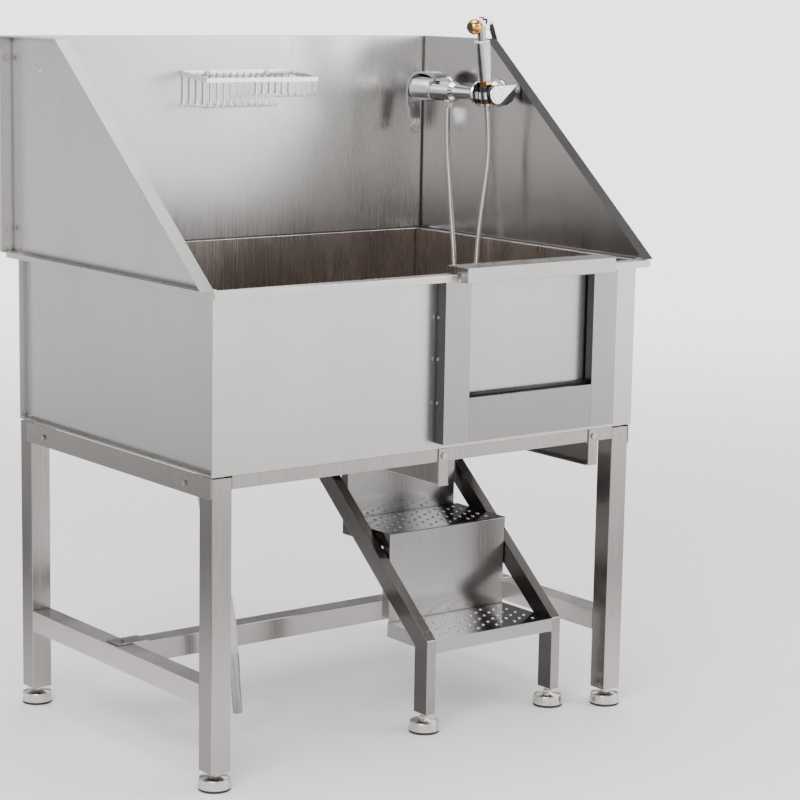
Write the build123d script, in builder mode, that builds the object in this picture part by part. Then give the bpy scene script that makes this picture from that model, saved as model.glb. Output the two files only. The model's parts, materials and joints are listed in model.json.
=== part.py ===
from build123d import *
import os
from math import acos, atan2, cos, hypot, pi, radians, sin, tan

# Stainless steel pet bathtub: a tub with a lift-up door and splash panels, on a welded
# frame of square tube, with slide-out stairs, a wall mixer, a hand sprayer and a drain.
# Millimetres.  +X is the bather's right, +Y the back, +Z up.  The origin is on the floor,
# under the middle of the outer box.

# ---------------------------------------------------------------- driving dimensions
SHEET = 2.0                    # stainless sheet
RIM_X = 585.0                  # half length over the rim
RIM_FRONT = -419.0
RIM_BACK = 439.0
RIM_Z = 1044.0                 # bathing rim height
LIP = 15.0                     # turned-down edge of the rim
WRAP_X = 570.0                 # half length of the front, floor and back sheet
WALL_FRONT = -388.0            # outer face of the front wall
WALL_BACK = 408.0              # inner face of the back wall
TUB_Z = 665.0                  # underside of the tub
SIDE_X = 555.0                 # outer face of the recessed end walls

PANEL_X = 576.0                # inner face of the side splash panels
PANEL_Y = 418.0                # front face of the back splash panel, set back on the rim
PANEL_TOP = 1522.0
PANEL_BREAK = 172.0            # where the sloping edge starts
PANEL_NOSE = -404.0            # front tip of the sloping edge
FLANGE = 31.0                  # folded edge of every splash panel

DOOR_X = 242.0                 # centre line of door, stairs and stair rails
OPENING_HALF = 175.5
OPENING_Z = 770.0
GUIDE_W = 69.0
GUIDE_SLOT = 9.0               # room behind the guide front for the sliding panel
GUIDE_Z = 679.0
SILL_TOP = 775.0
DOOR_FRONT = -392.0
DOOR_FOOT = 747.0
DOOR_HALF = 200.0
CAP_HALF = 210.0
CAP_FRONT = -449.0
CAP_BACK = -376.0
CAP_TOP = 1060.0
CAP_DROP = 1028.0              # lower edge of the cap's front face

TUBE = 48.0                    # square tube of the frame
TUBE_WALL = 2.0
LEG_X = 566.0                  # outer face of the legs
LEG_FRONT = -383.0
LEG_BACK = 414.0
LEG_Z = 40.0
LEG_TOP = 660.0
RAIL = 30.0                    # square rails under the tub
STRETCHER_Z = 176.0
MID_STRETCHER_Y = 25.0
APRON_T = 3.0
APRON_Z = 617.0
APRON_H = 46.0

STUD_R = 6.0
RUNNING = 0.05                 # radial play of a shaft in its bore
FOOT_R = 35.0
FOOT_TOP = 26.0                # upper edge of the foot's skirt
PAD_T = 6.0

STAIR_HALF = 195.0             # half width over the stair sides
BAR_W = 25.0                   # stair side tube, across
BAR_D = 45.0                   # stair leg, front to back
STAIR_FRONT = -315.0
STAIR_Z = 43.0
STEP_1 = 213.0                 # height of the lower tread
STEP_2 = 420.0
STEP_2_FRONT = -137.0
STRINGER_Y = 141.0             # top end of the sloping sides
STRINGER_TOP = 596.0
TREAD_D = 180.0
TREAD_HALF = STAIR_HALF - BAR_W
RISER_HALF = (TREAD_HALF - SHEET, 158.0)      # lower and upper riser
ROLLER_Y = 150.0
ROLLER_Z = 598.4
ROLLER_R = 14.0
STAIR_RAIL_HALF = 216.0
STAIR_RAIL_Z = 581.0

MIXER_X = 505.0
MIXER_Z = 1394.5
UNION_Y = (120.0, 322.0)       # 202 mm wall centres
OUTLET_Y = 228.0
OUTLET_Z = 1356.0
HANDSET_X = 502.5              # where the handset's axis meets the top of its cup
HANDSET_Y = 82.0
HANDSET_Z = 1411.0
HANDSET_LEAN = 7.3             # degrees, top away from the wall
KNOB_Y = 38.0
HOSE_D = 14.0

DRAIN_X = -400.0
DRAIN_Y = -90.0
DRAIN_R = 26.0
DRAIN_HOSE_D = 26.0

BASKET_X = (-138.0, 57.0, 174.0)      # left end, step between deep and shallow, right end
BASKET_FLOOR = (1363.0, 1385.0)       # deep and shallow floor heights
BASKET_FRONT = 305.0
BASKET_TOP = 1443.0
BASKET_FRONT_TOP = 1429.0
WIRE_D = 3.0
WIRE_PITCH = 17.5


# ---------------------------------------------------------------- helpers
def save(builder, name):
    """Label a finished piece and write it to its own file."""
    builder.part.label = name
    export_step(builder.part, f"parts/{name}.step")


def block(x, y, z, mode=Mode.ADD):
    """A box from three (low, high) pairs."""
    centre = [(pair[0] + pair[1]) / 2 for pair in (x, y, z)]
    size = [abs(pair[1] - pair[0]) for pair in (x, y, z)]
    with Locations(tuple(centre)):
        Box(*size, mode=mode)


def side_pair(side, near, far):
    """The X range between two distances from the centre plane, on one side."""
    return tuple(sorted((side * near, side * far)))


def drum(origin, direction, radius, length, mode=Mode.ADD):
    """A round bar from origin along direction."""
    with BuildSketch(Plane(origin=origin, z_dir=direction)) as disc:
        Circle(radius)
    extrude(disc.sketch, amount=length, mode=mode)


def hexagon(origin, direction, radius, length):
    """A hexagonal bar, radius across its corners."""
    with BuildSketch(Plane(origin=origin, z_dir=direction)) as outline:
        RegularPolygon(radius, 6)
    extrude(outline.sketch, amount=length)


def bolt(head_at, inwards, grip, shank_r=3.0, end=8.0):
    """A hexagon bolt and its nut, clamping a stack of the given thickness."""
    back = Vector(*inwards)
    start = Vector(*head_at)
    hexagon(start - back * 4, back, shank_r * 2, 4)
    drum(start, back, shank_r, grip + end)
    hexagon(start + back * grip, back, shank_r * 2, shank_r * 1.6)


def square_tube(x, y, z):
    """A closed tube with capped ends and a hollow inside."""
    block(x, y, z)
    inner = [(low + TUBE_WALL, high - TUBE_WALL) for low, high in (x, y, z)]
    block(*inner, mode=Mode.SUBTRACT)


def levelling_foot(x, y, stud_top):
    """A dished steel cup with its adjusting nut and stud, standing on a rubber pad."""
    with BuildSketch(Plane(origin=(x, y, 0), x_dir=(1, 0, 0), z_dir=(0, -1, 0))) as outline:
        with BuildLine():
            Polyline((0, PAD_T), (FOOT_R, PAD_T), (FOOT_R - 2, FOOT_TOP - 2))
            ThreePointArc((FOOT_R - 2, FOOT_TOP - 2), (FOOT_R - 3, FOOT_TOP - 0.4),
                          (FOOT_R - 5, FOOT_TOP))
            Polyline((FOOT_R - 5, FOOT_TOP), (12, FOOT_TOP + 3), (0, FOOT_TOP + 3), (0, PAD_T))
        make_face()
    revolve(outline.sketch, axis=Axis((x, y, 0), (0, 0, 1)))
    hexagon((x, y, FOOT_TOP + 2), (0, 0, 1), 11, 8)
    drum((x, y, FOOT_TOP), (0, 0, 1), STUD_R, stud_top - FOOT_TOP)


def hose(name, points, diameter, bore):
    """A hose along straight runs with the largest tangent arc at each point."""
    spots = [Vector(*point) for point in points]
    runs = [(b - a).length for a, b in zip(spots, spots[1:])]
    radii = []
    for index in range(1, len(spots) - 1):
        before = (spots[index] - spots[index - 1]).normalized()
        after = (spots[index + 1] - spots[index]).normalized()
        half_turn = radians(before.get_angle(after)) / 2
        radii.append(0.45 * min(runs[index - 1], runs[index]) / tan(half_turn))
    with BuildPart() as tube:
        with BuildLine() as path:
            FilletPolyline(*spots, radius=radii)
        route = path.wires()[0]
        with BuildSketch(Plane(origin=route @ 0, z_dir=route % 0)):
            Circle(diameter / 2)
            Circle(bore / 2, mode=Mode.SUBTRACT)
        sweep()
    ring = pi * (diameter ** 2 - bore ** 2) / 4
    print(name, "length", round(route.length, 1), "radii", [round(r) for r in radii])
    print(name, "volume over section", round(tube.part.volume / ring, 1))
    save(tube, name)


# ---------------------------------------------------------------- tub
with BuildPart() as tub_wrap:
    # one sheet: front wall, floor and back wall, with the front and back rims
    block((-WRAP_X, WRAP_X), (WALL_FRONT, WALL_FRONT + SHEET), (TUB_Z, RIM_Z))
    block((-WRAP_X, WRAP_X), (WALL_FRONT, WALL_BACK + SHEET), (TUB_Z, TUB_Z + SHEET))
    block((-WRAP_X, WRAP_X), (WALL_BACK, WALL_BACK + SHEET), (TUB_Z, RIM_Z))
    for edge, wall in ((RIM_FRONT, WALL_FRONT + SHEET), (RIM_BACK, WALL_BACK)):
        inner = edge + SHEET if edge < wall else edge - SHEET
        block((-RIM_X, RIM_X), sorted((edge, wall)), (RIM_Z - SHEET, RIM_Z))
        block((-RIM_X, RIM_X), sorted((edge, inner)), (RIM_Z - LIP, RIM_Z))
        for side in (-1, 1):
            block(side_pair(side, RIM_X - SHEET, RIM_X), sorted((edge, wall)),
                  (RIM_Z - LIP, RIM_Z))
    block((DOOR_X - OPENING_HALF, DOOR_X + OPENING_HALF),
          (WALL_FRONT - 1, WALL_FRONT + SHEET + 1), (OPENING_Z, RIM_Z + 1), Mode.SUBTRACT)
    block((DOOR_X - DOOR_HALF - 3, DOOR_X + DOOR_HALF + 3),
          (RIM_FRONT - 1, WALL_FRONT), (RIM_Z - LIP - 1, RIM_Z + 1), Mode.SUBTRACT)
    drum((DRAIN_X, DRAIN_Y, TUB_Z - 1), (0, 0, 1), DRAIN_R, SHEET + 2, Mode.SUBTRACT)
save(tub_wrap, "tub_wrap")

for side, word in ((-1, "left"), (1, "right")):
    with BuildPart() as tub_side:
        # recessed end wall with its outward welding edges and the end rim
        front = WALL_FRONT + SHEET
        floor = TUB_Z + SHEET
        block(side_pair(side, SIDE_X - SHEET, SIDE_X), (front, WALL_BACK), (floor, RIM_Z))
        edges = side_pair(side, SIDE_X, WRAP_X)
        block(edges, (front, front + SHEET), (floor, RIM_Z))
        block(edges, (WALL_BACK - SHEET, WALL_BACK), (floor, RIM_Z))
        block(edges, (front, WALL_BACK), (floor, floor + SHEET))
        block(side_pair(side, SIDE_X, RIM_X), (front, WALL_BACK), (RIM_Z - SHEET, RIM_Z))
        block(side_pair(side, RIM_X - SHEET, RIM_X), (front, WALL_BACK),
              (RIM_Z - LIP, RIM_Z))
    save(tub_side, f"tub_side_{word}")

# ---------------------------------------------------------------- splash panels
BOLT_X = 592.0
BOLT_ZS = (1097.0, 1475.0)
panel_outline = [(PANEL_Y, RIM_Z), (PANEL_Y, PANEL_TOP), (PANEL_BREAK, PANEL_TOP),
                 (PANEL_NOSE, RIM_Z)]

for side, word in ((-1, "left"), (1, "right")):
    with BuildPart() as splash_side:
        # a shallow tray on edge: the sheet inside, all four edges folded outwards
        with BuildSketch(Plane.YZ.offset(side * PANEL_X)):
            Polygon(*panel_outline, align=None)
        extrude(amount=side * FLANGE)
        with BuildSketch(Plane.YZ.offset(side * (PANEL_X + SHEET))):
            Polygon(*panel_outline, align=None)
            offset(amount=-SHEET, kind=Kind.INTERSECTION, mode=Mode.REPLACE)
        extrude(amount=side * FLANGE, mode=Mode.SUBTRACT)
        for bolt_z in BOLT_ZS:
            drum((side * BOLT_X, PANEL_Y + 1, bolt_z), (0, -1, 0), 3.3, SHEET + 2,
                 Mode.SUBTRACT)
        if side > 0:
            for union_y in UNION_Y:
                drum((PANEL_X - 1, union_y, MIXER_Z), (1, 0, 0), 12.0, SHEET + 2,
                     Mode.SUBTRACT)
        else:
            drum((-PANEL_X + 1, 291, 1450), (-1, 0, 0), 4.0, SHEET + 2, Mode.SUBTRACT)
    save(splash_side, f"splash_{word}")

PANEL_BACK = PANEL_Y + FLANGE
PANEL_HALF = PANEL_X + FLANGE
BASKET_SCREWS = (-66.0, 103.0)
with BuildPart() as splash_back:
    block((-PANEL_HALF, PANEL_HALF), (PANEL_Y, PANEL_BACK), (RIM_Z, PANEL_TOP))
    block((-PANEL_HALF + SHEET, PANEL_HALF - SHEET), (PANEL_Y + SHEET, PANEL_BACK),
          (RIM_Z + SHEET, PANEL_TOP - SHEET), Mode.SUBTRACT)
    for side in (-1, 1):
        for bolt_z in BOLT_ZS:
            drum((side * BOLT_X, PANEL_Y - 1, bolt_z), (0, 1, 0), 3.3, SHEET + 2,
                 Mode.SUBTRACT)
    for screw_x in BASKET_SCREWS:
        drum((screw_x, PANEL_Y - 1, BASKET_TOP - 7), (0, 1, 0), 3.3, SHEET + 2,
             Mode.SUBTRACT)
save(splash_back, "splash_back")

# ---------------------------------------------------------------- door and its guides
with BuildPart() as door_guides:
    # folded channels on the front wall, open towards the door behind their front lips
    near = OPENING_HALF
    far = OPENING_HALF + GUIDE_W
    top = RIM_Z - LIP
    for side in (-1, 1):
        spans = [sorted((DOOR_X + side * a, DOOR_X + side * b)) for a, b in
                 ((near, far), (far - SHEET, far), (near, near + SHEET))]
        block(spans[0], (RIM_FRONT, RIM_FRONT + SHEET), (GUIDE_Z, top))
        block(spans[1], (RIM_FRONT, WALL_FRONT), (GUIDE_Z, top))
        block(spans[2], (RIM_FRONT, WALL_FRONT - GUIDE_SLOT), (GUIDE_Z, top))
        block(spans[0], (RIM_FRONT, WALL_FRONT), (GUIDE_Z, GUIDE_Z + SHEET))
save(door_guides, "door_guides")

with BuildPart() as door_sill:
    # the channel under the opening, with a slot that the panel's foot drops into
    width = (DOOR_X - OPENING_HALF, DOOR_X + OPENING_HALF)
    back = WALL_FRONT - GUIDE_SLOT
    block(width, (RIM_FRONT, RIM_FRONT + SHEET), (GUIDE_Z, SILL_TOP))
    block(width, (RIM_FRONT, back), (SILL_TOP - SHEET, SILL_TOP))
    block(width, (back - SHEET, back), (DOOR_FOOT - 10, SILL_TOP))
    block(width, (back - SHEET, WALL_FRONT), (DOOR_FOOT - 10, DOOR_FOOT - 10 + SHEET))
    block(width, (RIM_FRONT, WALL_FRONT), (GUIDE_Z, GUIDE_Z + SHEET))
save(door_sill, "door_sill")

SEAL_T = 1.6
with BuildPart() as door_seal:
    # rubber strip glued on the wall round both sides and the foot of the opening
    block((DOOR_X - OPENING_HALF - 12, DOOR_X + OPENING_HALF + 12),
          (WALL_FRONT - SEAL_T, WALL_FRONT), (OPENING_Z - 12, RIM_Z - LIP))
    block((DOOR_X - OPENING_HALF, DOOR_X + OPENING_HALF),
          (WALL_FRONT - SEAL_T - 1, WALL_FRONT + 1), (OPENING_Z, RIM_Z), Mode.SUBTRACT)
save(door_seal, "door_seal")

with BuildPart() as door_panel:
    block((DOOR_X - DOOR_HALF, DOOR_X + DOOR_HALF), (DOOR_FRONT, DOOR_FRONT + SHEET),
          (DOOR_FOOT, CAP_TOP - SHEET))
save(door_panel, "door_panel")

with BuildPart() as door_cap:
    # hollow channel over the rim: deep front face, notched ends, short back face
    ends = (DOOR_X - CAP_HALF, DOOR_X + CAP_HALF)
    notch = RIM_Z + 1
    block(ends, (CAP_FRONT, CAP_BACK), (CAP_TOP - SHEET, CAP_TOP))
    block(ends, (CAP_FRONT, CAP_FRONT + SHEET), (CAP_DROP, CAP_TOP))
    block(ends, (CAP_BACK - SHEET, CAP_BACK), (notch, CAP_TOP))
    for side in (-1, 1):
        cheek = sorted((DOOR_X + side * CAP_HALF, DOOR_X + side * (CAP_HALF - SHEET)))
        block(cheek, (CAP_FRONT, CAP_BACK), (notch, CAP_TOP))
        block(cheek, (CAP_FRONT, RIM_FRONT - 6), (CAP_DROP, CAP_TOP))
save(door_cap, "door_cap")

# ---------------------------------------------------------------- frame
leg_places = {"front_left": (-1, LEG_FRONT), "front_right": (1, LEG_FRONT),
              "back_left": (-1, LEG_BACK - TUBE), "back_right": (1, LEG_BACK - TUBE)}
LEG_PLUG = 14.0                # threaded plug in the foot of the leg

for word, (side, y_low) in leg_places.items():
    foot_x = side * (LEG_X - TUBE / 2)
    foot_y = y_low + TUBE / 2
    with BuildPart() as leg:
        square_tube(side_pair(side, LEG_X - TUBE, LEG_X), (y_low, y_low + TUBE),
                    (LEG_Z, LEG_TOP))
        with Locations((foot_x, foot_y, LEG_Z + LEG_PLUG / 2)):
            Box(TUBE - TUBE_WALL, TUBE - TUBE_WALL, LEG_PLUG)
        drum((foot_x, foot_y, LEG_Z - 1), (0, 0, 1), STUD_R + RUNNING, LEG_PLUG + 2,
             Mode.SUBTRACT)
        vertical = leg.edges().filter_by(Axis.Z).filter_by(
            lambda edge: edge.length > LEG_TOP - LEG_Z - 1)
        fillet(vertical, 2.0)
    save(leg, f"leg_{word}")

    with BuildPart() as foot:
        levelling_foot(foot_x, foot_y, 60)
    save(foot, f"foot_{word}")

    with BuildPart() as foot_pad:
        drum((foot_x, foot_y, 0), (0, 0, 1), FOOT_R - 1, PAD_T)
        chamfer(foot_pad.edges().group_by(Axis.Z)[0], 1.0)
    save(foot_pad, f"foot_pad_{word}")

LEG_INNER = LEG_X - TUBE
with BuildPart() as tub_rails:
    for y_low in (LEG_FRONT, LEG_BACK - RAIL):
        square_tube((-LEG_INNER, LEG_INNER), (y_low, y_low + RAIL), (TUB_Z - RAIL, TUB_Z))
save(tub_rails, "tub_rails")

BOLT_LINE = APRON_Z + 20
APRON_BOLTS = (-285.0, 301.0)
with BuildPart() as aprons:
    for side in (-1, 1):
        block(side_pair(side, LEG_X, LEG_X + APRON_T), (LEG_FRONT, LEG_BACK - 34),
              (APRON_Z, APRON_Z + APRON_H))
        block(side_pair(side, LEG_X - 26, LEG_X + APRON_T),
              (LEG_FRONT + TUBE, LEG_BACK - TUBE), (APRON_Z, APRON_Z + APRON_T))
        for bolt_y in APRON_BOLTS:
            drum((side * (LEG_X - 1), bolt_y, BOLT_LINE), (side, 0, 0), 3.3, 5,
                 Mode.SUBTRACT)
    corners = aprons.edges().filter_by(Axis.X).filter_by(
        lambda edge: edge.center().Y < LEG_FRONT + 1 and edge.center().Z < APRON_Z + 1)
    fillet(corners, 8.0)
save(aprons, "aprons")

STRETCHER_TOP = STRETCHER_Z + TUBE
LUG_X = 528.0                  # vertical bolts that hold the middle stretcher
with BuildPart() as side_stretchers:
    for side in (-1, 1):
        square_tube(side_pair(side, LEG_INNER, LEG_X), (LEG_FRONT + TUBE, LEG_BACK - TUBE),
                    (STRETCHER_Z, STRETCHER_TOP))
        drum((side * LUG_X, MID_STRETCHER_Y, STRETCHER_Z - 1), (0, 0, 1), 4.4, TUBE + 2,
             Mode.SUBTRACT)
save(side_stretchers, "side_stretchers")

with BuildPart() as mid_stretcher:
    middle = (MID_STRETCHER_Y - TUBE / 2, MID_STRETCHER_Y + TUBE / 2)
    square_tube((-LEG_INNER, LEG_INNER), middle, (STRETCHER_Z, STRETCHER_TOP))
    for side in (-1, 1):
        block(side_pair(side, LEG_INNER - 38, LEG_INNER + 40), middle,
              (STRETCHER_TOP, STRETCHER_TOP + 3))
        drum((side * LUG_X, MID_STRETCHER_Y, STRETCHER_TOP - 1), (0, 0, 1), 4.4, 6,
             Mode.SUBTRACT)
save(mid_stretcher, "mid_stretcher")

STRAP_W = 27.0
STRAP_BOLT_Z = 648.0
RAIL_TOP = TUB_Z - RAIL
with BuildPart() as stair_rails:
    # upright plates beside the stairs, hung from the tub rails by a strap at each end
    for side in (-1, 1):
        rail_x = DOOR_X + side * STAIR_RAIL_HALF
        block((rail_x - 1.5, rail_x + 1.5), (LEG_FRONT, LEG_BACK), (STAIR_RAIL_Z, RAIL_TOP))
        strap = (rail_x - STRAP_W / 2, rail_x + STRAP_W / 2)
        for face, outwards in ((LEG_FRONT, -1), (LEG_BACK, 1)):
            block(strap, sorted((face, face + outwards * 3)), (STAIR_RAIL_Z, TUB_Z - 2))
            drum((rail_x, face - outwards, STRAP_BOLT_Z), (0, outwards, 0), 3.3, 6,
                 Mode.SUBTRACT)
save(stair_rails, "stair_rails")

with BuildPart() as rail_runners:
    # flat bars welded to the plates, under and over the stair rollers
    for side in (-1, 1):
        rail_x = DOOR_X + side * STAIR_RAIL_HALF
        across = side_pair(side, STAIR_RAIL_HALF - 18, STAIR_RAIL_HALF - 1.5)
        bar_x = (DOOR_X + across[0], DOOR_X + across[1])
        for low in (STAIR_RAIL_Z, RAIL_TOP - 3):
            block(bar_x, (LEG_FRONT, LEG_BACK), (low, low + 3))
save(rail_runners, "rail_runners")

with BuildPart() as bolts:
    # every bolt of the splash panels, aprons, middle stretcher, basket and stair rails,
    # and the rivets of the door guides
    for side in (-1, 1):
        for bolt_z in BOLT_ZS:
            bolt((side * BOLT_X, PANEL_Y - SHEET, bolt_z), (0, 1, 0), 2 * SHEET)
        for bolt_y in APRON_BOLTS:
            bolt((side * (LEG_X + APRON_T), bolt_y, BOLT_LINE), (-side, 0, 0), APRON_T)
        bolt((side * LUG_X, MID_STRETCHER_Y, STRETCHER_TOP + 3), (0, 0, -1), TUBE + 3,
             shank_r=4.0, end=12.0)
    for screw_x in BASKET_SCREWS:
        bolt((screw_x, PANEL_Y - 2, BASKET_TOP - 7), (0, 1, 0), SHEET + 2)
    for side in (-1, 1):
        for face, outwards in ((LEG_FRONT - 3, -1), (LEG_BACK + 3, 1)):
            place = (DOOR_X + side * STAIR_RAIL_HALF, face, STRAP_BOLT_Z)
            drum(place, (0, outwards, 0), 6.5, 4)
            drum(place, (0, -outwards, 0), 3.0, 3)
        for rivet_z in (767, 862, 952):
            face = DOOR_X + side * (OPENING_HALF + GUIDE_W)
            drum((face, WALL_FRONT - 8, rivet_z), (side, 0, 0), 3.5, 2.0)
save(bolts, "bolts")

# ---------------------------------------------------------------- stairs
SLOPE = (STRINGER_TOP - STEP_1) / (STRINGER_Y - STAIR_FRONT)
STRINGER_DEPTH = 57.0          # the sloping tube, measured straight down
leg_back = STAIR_FRONT + BAR_D
side_outline = [(STAIR_FRONT, STAIR_Z), (leg_back, STAIR_Z),
                (leg_back, STEP_1 + SLOPE * BAR_D - STRINGER_DEPTH),
                (STRINGER_Y, STRINGER_TOP - STRINGER_DEPTH), (STRINGER_Y, STRINGER_TOP),
                (STAIR_FRONT, STEP_1)]
stair_foot_y = STAIR_FRONT + BAR_D / 2

for side, word in ((-1, "left"), (1, "right")):
    outer = DOOR_X + side * STAIR_HALF
    with BuildPart() as stair_side:
        with BuildSketch(Plane.YZ.offset(outer)):
            Polygon(*side_outline, align=None)
        extrude(amount=-side * BAR_W)
        with BuildSketch(Plane.YZ.offset(outer - side * TUBE_WALL)):
            Polygon(*side_outline, align=None)
            offset(amount=-TUBE_WALL, kind=Kind.INTERSECTION, mode=Mode.REPLACE)
        extrude(amount=-side * (BAR_W - 2 * TUBE_WALL), mode=Mode.SUBTRACT)
        # plate that carries the roller axle
        block(sorted((outer, outer - side * 4)), (ROLLER_Y - 25, ROLLER_Y + 14),
              (ROLLER_Z - 40, ROLLER_Z + 14))
        drum((outer + side, ROLLER_Y, ROLLER_Z), (-side, 0, 0), STUD_R, 6, Mode.SUBTRACT)
    save(stair_side, f"stair_side_{word}")

with BuildPart() as stair_axle:
    reach = STAIR_HALF + 17
    drum((DOOR_X - reach, ROLLER_Y, ROLLER_Z), (1, 0, 0), STUD_R, 2 * reach)
save(stair_axle, "stair_axle")

with BuildPart() as stair_rollers:
    for side in (-1, 1):
        start = (DOOR_X + side * (STAIR_HALF + 2.5), ROLLER_Y, ROLLER_Z)
        drum(start, (side, 0, 0), ROLLER_R, 13)
        drum(start, (side, 0, 0), STUD_R + RUNNING, 13, Mode.SUBTRACT)
save(stair_rollers, "stair_rollers")

HOLE_R = 2.8
HOLE_STEP = 31.0
ROW_STEP = HOLE_STEP * 3 ** 0.5


def tread(name, top, front, fascia):
    """A pan-shaped step with a lattice of grip holes and a front face of given height."""
    spread = (DOOR_X - TREAD_HALF, DOOR_X + TREAD_HALF)
    back = front + TREAD_D
    middle = (front + back) / 2
    with BuildPart() as step:
        block(spread, (front, back), (top - SHEET, top))
        for side in (-1, 1):
            edge = sorted((DOOR_X + side * TREAD_HALF, DOOR_X + side * (TREAD_HALF - SHEET)))
            block(edge, (front, back), (top - 33, top))
        block(spread, (front, front + SHEET), (top - fascia, top))
        with BuildSketch(Plane.XY.offset(top - SHEET)):
            with Locations((DOOR_X, middle)):
                with GridLocations(ROW_STEP, HOLE_STEP, 6, 5):
                    Circle(HOLE_R)
                with GridLocations(ROW_STEP, HOLE_STEP, 5, 4):
                    Circle(HOLE_R)
        extrude(amount=SHEET, mode=Mode.SUBTRACT)
    save(step, name)


def riser(name, half, front, low, high):
    """The upright plate behind a step, with its side edges folded back."""
    with BuildPart() as plate:
        block((DOOR_X - half, DOOR_X + half), (front, front + SHEET), (low, high))
        for side in (-1, 1):
            edge = sorted((DOOR_X + side * half, DOOR_X + side * (half - SHEET)))
            block(edge, (front, front + 26), (low + 9, high))
    save(plate, name)


# the lower riser ends flush under the front edge of the upper tread
tread("tread_lower", STEP_1, STAIR_FRONT, 30)
tread("tread_upper", STEP_2, STEP_2_FRONT, SHEET)
riser("riser_lower", RISER_HALF[0], STEP_2_FRONT, STEP_1, STEP_2 - SHEET)
riser("riser_upper", RISER_HALF[1], STEP_2_FRONT + TREAD_D - SHEET, STEP_2, STRINGER_TOP - 6)

with BuildPart() as stair_feet:
    for side in (-1, 1):
        levelling_foot(DOOR_X + side * (STAIR_HALF - BAR_W / 2), stair_foot_y, STAIR_Z)
save(stair_feet, "stair_feet")

with BuildPart() as stair_pads:
    for side in (-1, 1):
        foot_x = DOOR_X + side * (STAIR_HALF - BAR_W / 2)
        drum((foot_x, stair_foot_y, 0), (0, 0, 1), FOOT_R - 1, PAD_T)
save(stair_pads, "stair_pads")

# ---------------------------------------------------------------- mixer
PLATE_T = 6.0
UNION_END = MIXER_X + 34       # where the union nut meets the mixer
STUB_R = 10.4                  # half-inch pipe thread outside the panel
with BuildPart() as wall_unions:
    for union_y in UNION_Y:
        drum((PANEL_X, union_y, MIXER_Z), (-1, 0, 0), 33, PLATE_T)
        drum((UNION_END, union_y, MIXER_Z), (1, 0, 0), STUB_R, PANEL_X + 26 - UNION_END)
        hexagon((UNION_END, union_y, MIXER_Z), (1, 0, 0), 19, 16)
    rims = wall_unions.edges().filter_by(GeomType.CIRCLE).filter_by(
        lambda edge: abs(edge.radius - 33) < 0.1 and edge.center().X < PANEL_X - 1)
    fillet(rims, 4.0)
save(wall_unions, "wall_unions")

BODY_R = 23.5
NECK_R = 17.0
BODY_END = 340.0
NECK_END = 99.5
NECK_TIP_R = 11.0
with BuildPart() as mixer_body:
    axis_z = MIXER_Z
    with BuildSketch(Plane.YZ.offset(MIXER_X)):
        with BuildLine():
            Polyline((NECK_END, axis_z), (NECK_END, axis_z + 29), (NECK_END + 2, axis_z + 31),
                     (NECK_END + 4, axis_z + 31), (NECK_END + 9, axis_z + NECK_TIP_R),
                     (192, axis_z + NECK_R))
            Polyline((192, axis_z + NECK_R), (202, axis_z + BODY_R),
                     (BODY_END - 6, axis_z + BODY_R), (BODY_END, axis_z + BODY_R - 5),
                     (BODY_END, axis_z), (NECK_END, axis_z))
        make_face()
    revolve(axis=Axis((MIXER_X, 0, axis_z), (0, 1, 0)))
    for union_y in UNION_Y:
        drum((MIXER_X, union_y, MIXER_Z), (1, 0, 0), 15, UNION_END - MIXER_X)
    drum((MIXER_X, OUTLET_Y, MIXER_Z), (0, 0, -1), 9, MIXER_Z - OUTLET_Z)
    hexagon((MIXER_X, OUTLET_Y, OUTLET_Z), (0, 0, 1), 12, 14)
save(mixer_body, "mixer_body")

LEVER_W = 44.0
LEVER_TIP_W = 27.0
with BuildPart() as mixer_lever:
    # curved paddle over the end of the body, turning on the body's axis
    gap = BODY_END + 0.5
    with BuildSketch(Plane.YZ.offset(MIXER_X - LEVER_W / 2)):
        with BuildLine():
            Spline((262, 1425.5), (302, 1434), (342, 1424), (360, 1390), (357, 1335),
                   (350, 1290))
            Line((350, 1290), (355, 1288))
            Spline((355, 1288), (362.5, 1335), (366, 1391), (346, 1429), (302, 1440),
                   (262, 1430.5))
            Line((262, 1430.5), (262, 1425.5))
        make_face()
    extrude(amount=LEVER_W)
    # the paddle tapers to a rounded tip
    with BuildSketch(Plane.XZ.offset(-400)):
        with BuildLine():
            Polyline((MIXER_X - LEVER_TIP_W / 2, 1300), (MIXER_X - LEVER_W / 2, 1400),
                     (MIXER_X - LEVER_W / 2, 1450), (MIXER_X + LEVER_W / 2, 1450),
                     (MIXER_X + LEVER_W / 2, 1400), (MIXER_X + LEVER_TIP_W / 2, 1300),
                     close=True)
        make_face()
        with Locations((MIXER_X, 1301)):
            Circle(LEVER_TIP_W / 2)
    extrude(amount=200, mode=Mode.INTERSECT)
    drum((MIXER_X, gap, MIXER_Z), (0, 1, 0), 11, 21)
    drum((MIXER_X, 340, 1308), (0, 1, 0), 5, 30, Mode.SUBTRACT)
save(mixer_lever, "mixer_lever")

# ---------------------------------------------------------------- handset holder
lean = radians(HANDSET_LEAN)
handset_up = Vector(-sin(lean), 0, cos(lean))
cup_top = Vector(HANDSET_X, HANDSET_Y, HANDSET_Z)
INSERT_R = 14.0
INSERT_H = 39.0
STEM_R = 9.5
cup_foot = cup_top - handset_up * INSERT_H

with BuildPart() as holder_insert:
    drum(cup_foot, handset_up, INSERT_R, INSERT_H)
    drum(cup_foot, handset_up, STEM_R + 0.3, INSERT_H, Mode.SUBTRACT)
save(holder_insert, "holder_insert")

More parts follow.
